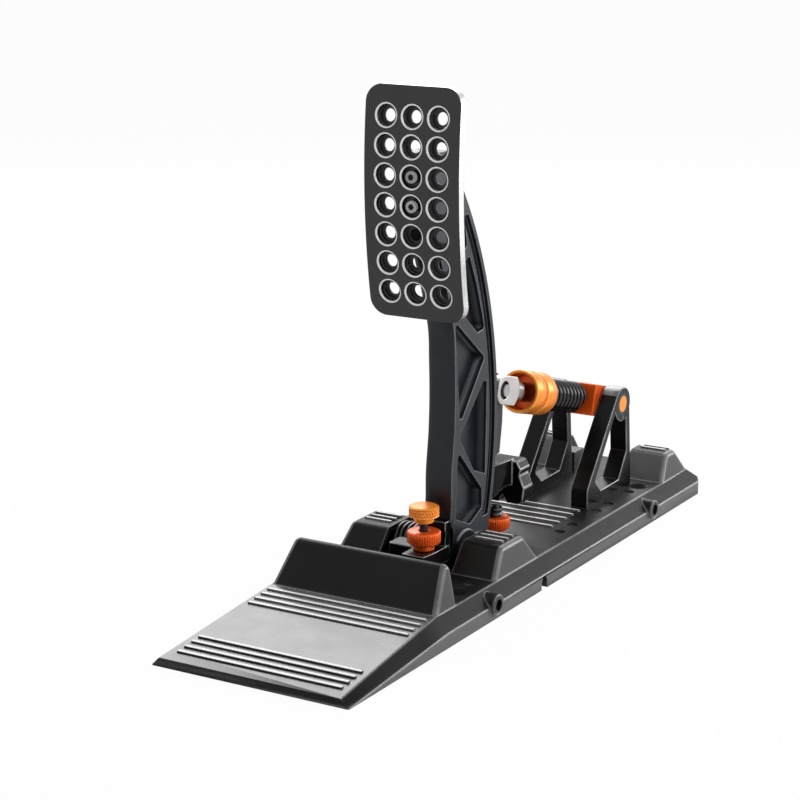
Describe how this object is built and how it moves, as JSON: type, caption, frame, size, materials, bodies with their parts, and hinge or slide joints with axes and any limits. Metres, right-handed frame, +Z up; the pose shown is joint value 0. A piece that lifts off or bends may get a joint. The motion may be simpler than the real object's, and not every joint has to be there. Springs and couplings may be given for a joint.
{
  "type": "sim racing throttle pedal",
  "caption": "Throttle pedal module: curved drilled plate on a swinging arm, moulded base with heel stop, and a coil spring unit between two A-frames.",
  "frame": {"origin": "middle of the base's underside, on the floor", "axes": "+X to the driver's right, +Y away from the driver, +Z up"},
  "size_m": [0.124, 0.437, 0.288],
  "materials": {
    "moulded_black": "satin, fine grain",
    "arm_navy": "satin",
    "plate_black": "satin",
    "frame_black": "satin",
    "orange_anodised": "satin, anodised",
    "clear_aluminium": "satin",
    "spring_black": "gloss",
    "bright_steel": "ground",
    "black_steel": "black oxide",
    "bush_bronze": "sintered",
    "bush_black": "satin",
    "pad_rubber": "matt",
    "board_green": "lacquered board"
  },
  "bodies": {
    "base": {"base_tray": "moulded_black", "pivot_axle": "bright_steel", "axle_caps": "moulded_black", "cap_screws": "bright_steel", "axle_spacer": "bright_steel", "spring_mandrel": "bush_black", "return_spring": "spring_black", "side_inserts": "bright_steel", "a_frame_right": "frame_black", "a_frame_left": "frame_black", "a_frame_screws": "black_steel", "pin_bushes": "bush_black", "sensor_board": "board_green", "cable_socket": "bush_black"},
    "pedal": {"pedal_arm": "arm_navy", "arm_bushes": "bush_bronze", "pedal_plate": "plate_black", "plate_screws": "black_steel", "toe_plate": "frame_black", "toe_screws": "black_steel", "stop_block": "frame_black", "stop_block_screws": "black_steel", "sensor_magnet": "bright_steel"},
    "front_adjuster": {"front_stud": "black_steel", "front_knob": "orange_anodised"},
    "front_nut": {"front_lock_nut": "orange_anodised"},
    "rear_stop": {"rear_stop_stud": "black_steel", "rear_stop_pad": "pad_rubber"},
    "rear_nut": {"rear_lock_nut": "orange_anodised"},
    "trunnion": {"trunnion_block": "orange_anodised", "trunnion_pins": "orange_anodised", "guide_bush": "bush_black", "main_spring": "spring_black"},
    "rod": {"spring_rod": "bright_steel", "rod_clevis": "clear_aluminium", "clevis_bolt": "bright_steel", "clevis_nut": "bright_steel", "rod_end_nut": "black_steel"},
    "cup": {"preload_cup": "orange_anodised"},
    "ring": {"preload_ring": "orange_anodised"}
  },
  "joints": [
    {"name": "pedal_pivot", "type": "hinge", "parent": "base", "child": "pedal", "pos_m": [0.01, -0.0265, 0.019], "axis": [-1, 0, 0], "range_deg": [0, 12], "stiffness_Nm_per_rad": 30, "springref_deg": -5.73, "deforming": ["return_spring"]},
    {"name": "strut_swing", "type": "hinge", "parent": "base", "child": "trunnion", "pos_m": [0.01, 0.1439, 0.072], "axis": [1, 0, 0], "range_deg": [0, 3.32]},
    {"name": "rod_slide", "type": "slide", "parent": "trunnion", "child": "rod", "axis": [0, 0.9665, -0.2568], "range_m": [0, 0.0192], "deforming": ["main_spring"]},
    {"name": "front_knob_turn", "type": "hinge", "parent": "pedal", "child": "front_adjuster", "pos_m": [0.01, -0.0585, 0.05], "axis": [0, 0, 1], "continuous": true},
    {"name": "front_nut_turn", "type": "hinge", "parent": "pedal", "child": "front_nut", "pos_m": [0.01, -0.0585, 0.036], "axis": [0, 0, 1], "continuous": true},
    {"name": "rear_stop_turn", "type": "hinge", "parent": "base", "child": "rear_stop", "pos_m": [0.01, 0.0242, 0.03], "axis": [0, 0, 1], "continuous": true},
    {"name": "rear_nut_turn", "type": "hinge", "parent": "base", "child": "rear_nut", "pos_m": [0.01, 0.0242, 0.023], "axis": [0, 0, 1], "continuous": true},
    {"name": "cup_turn", "type": "hinge", "parent": "rod", "child": "cup", "pos_m": [0.01, 0.05972, 0.09437], "axis": [0, 0.9665, -0.2568], "continuous": true},
    {"name": "ring_turn", "type": "hinge", "parent": "rod", "child": "ring", "pos_m": [0.01, 0.07326, 0.09077], "axis": [0, 0.9665, -0.2568], "continuous": true}
  ],
  "couplings": [
    {"joint": "strut_swing", "follows": "pedal_pivot", "ratio": 0.27667},
    {"joint": "rod_slide", "follows": "pedal_pivot", "m_per_rad": 0.091673}
  ]
}
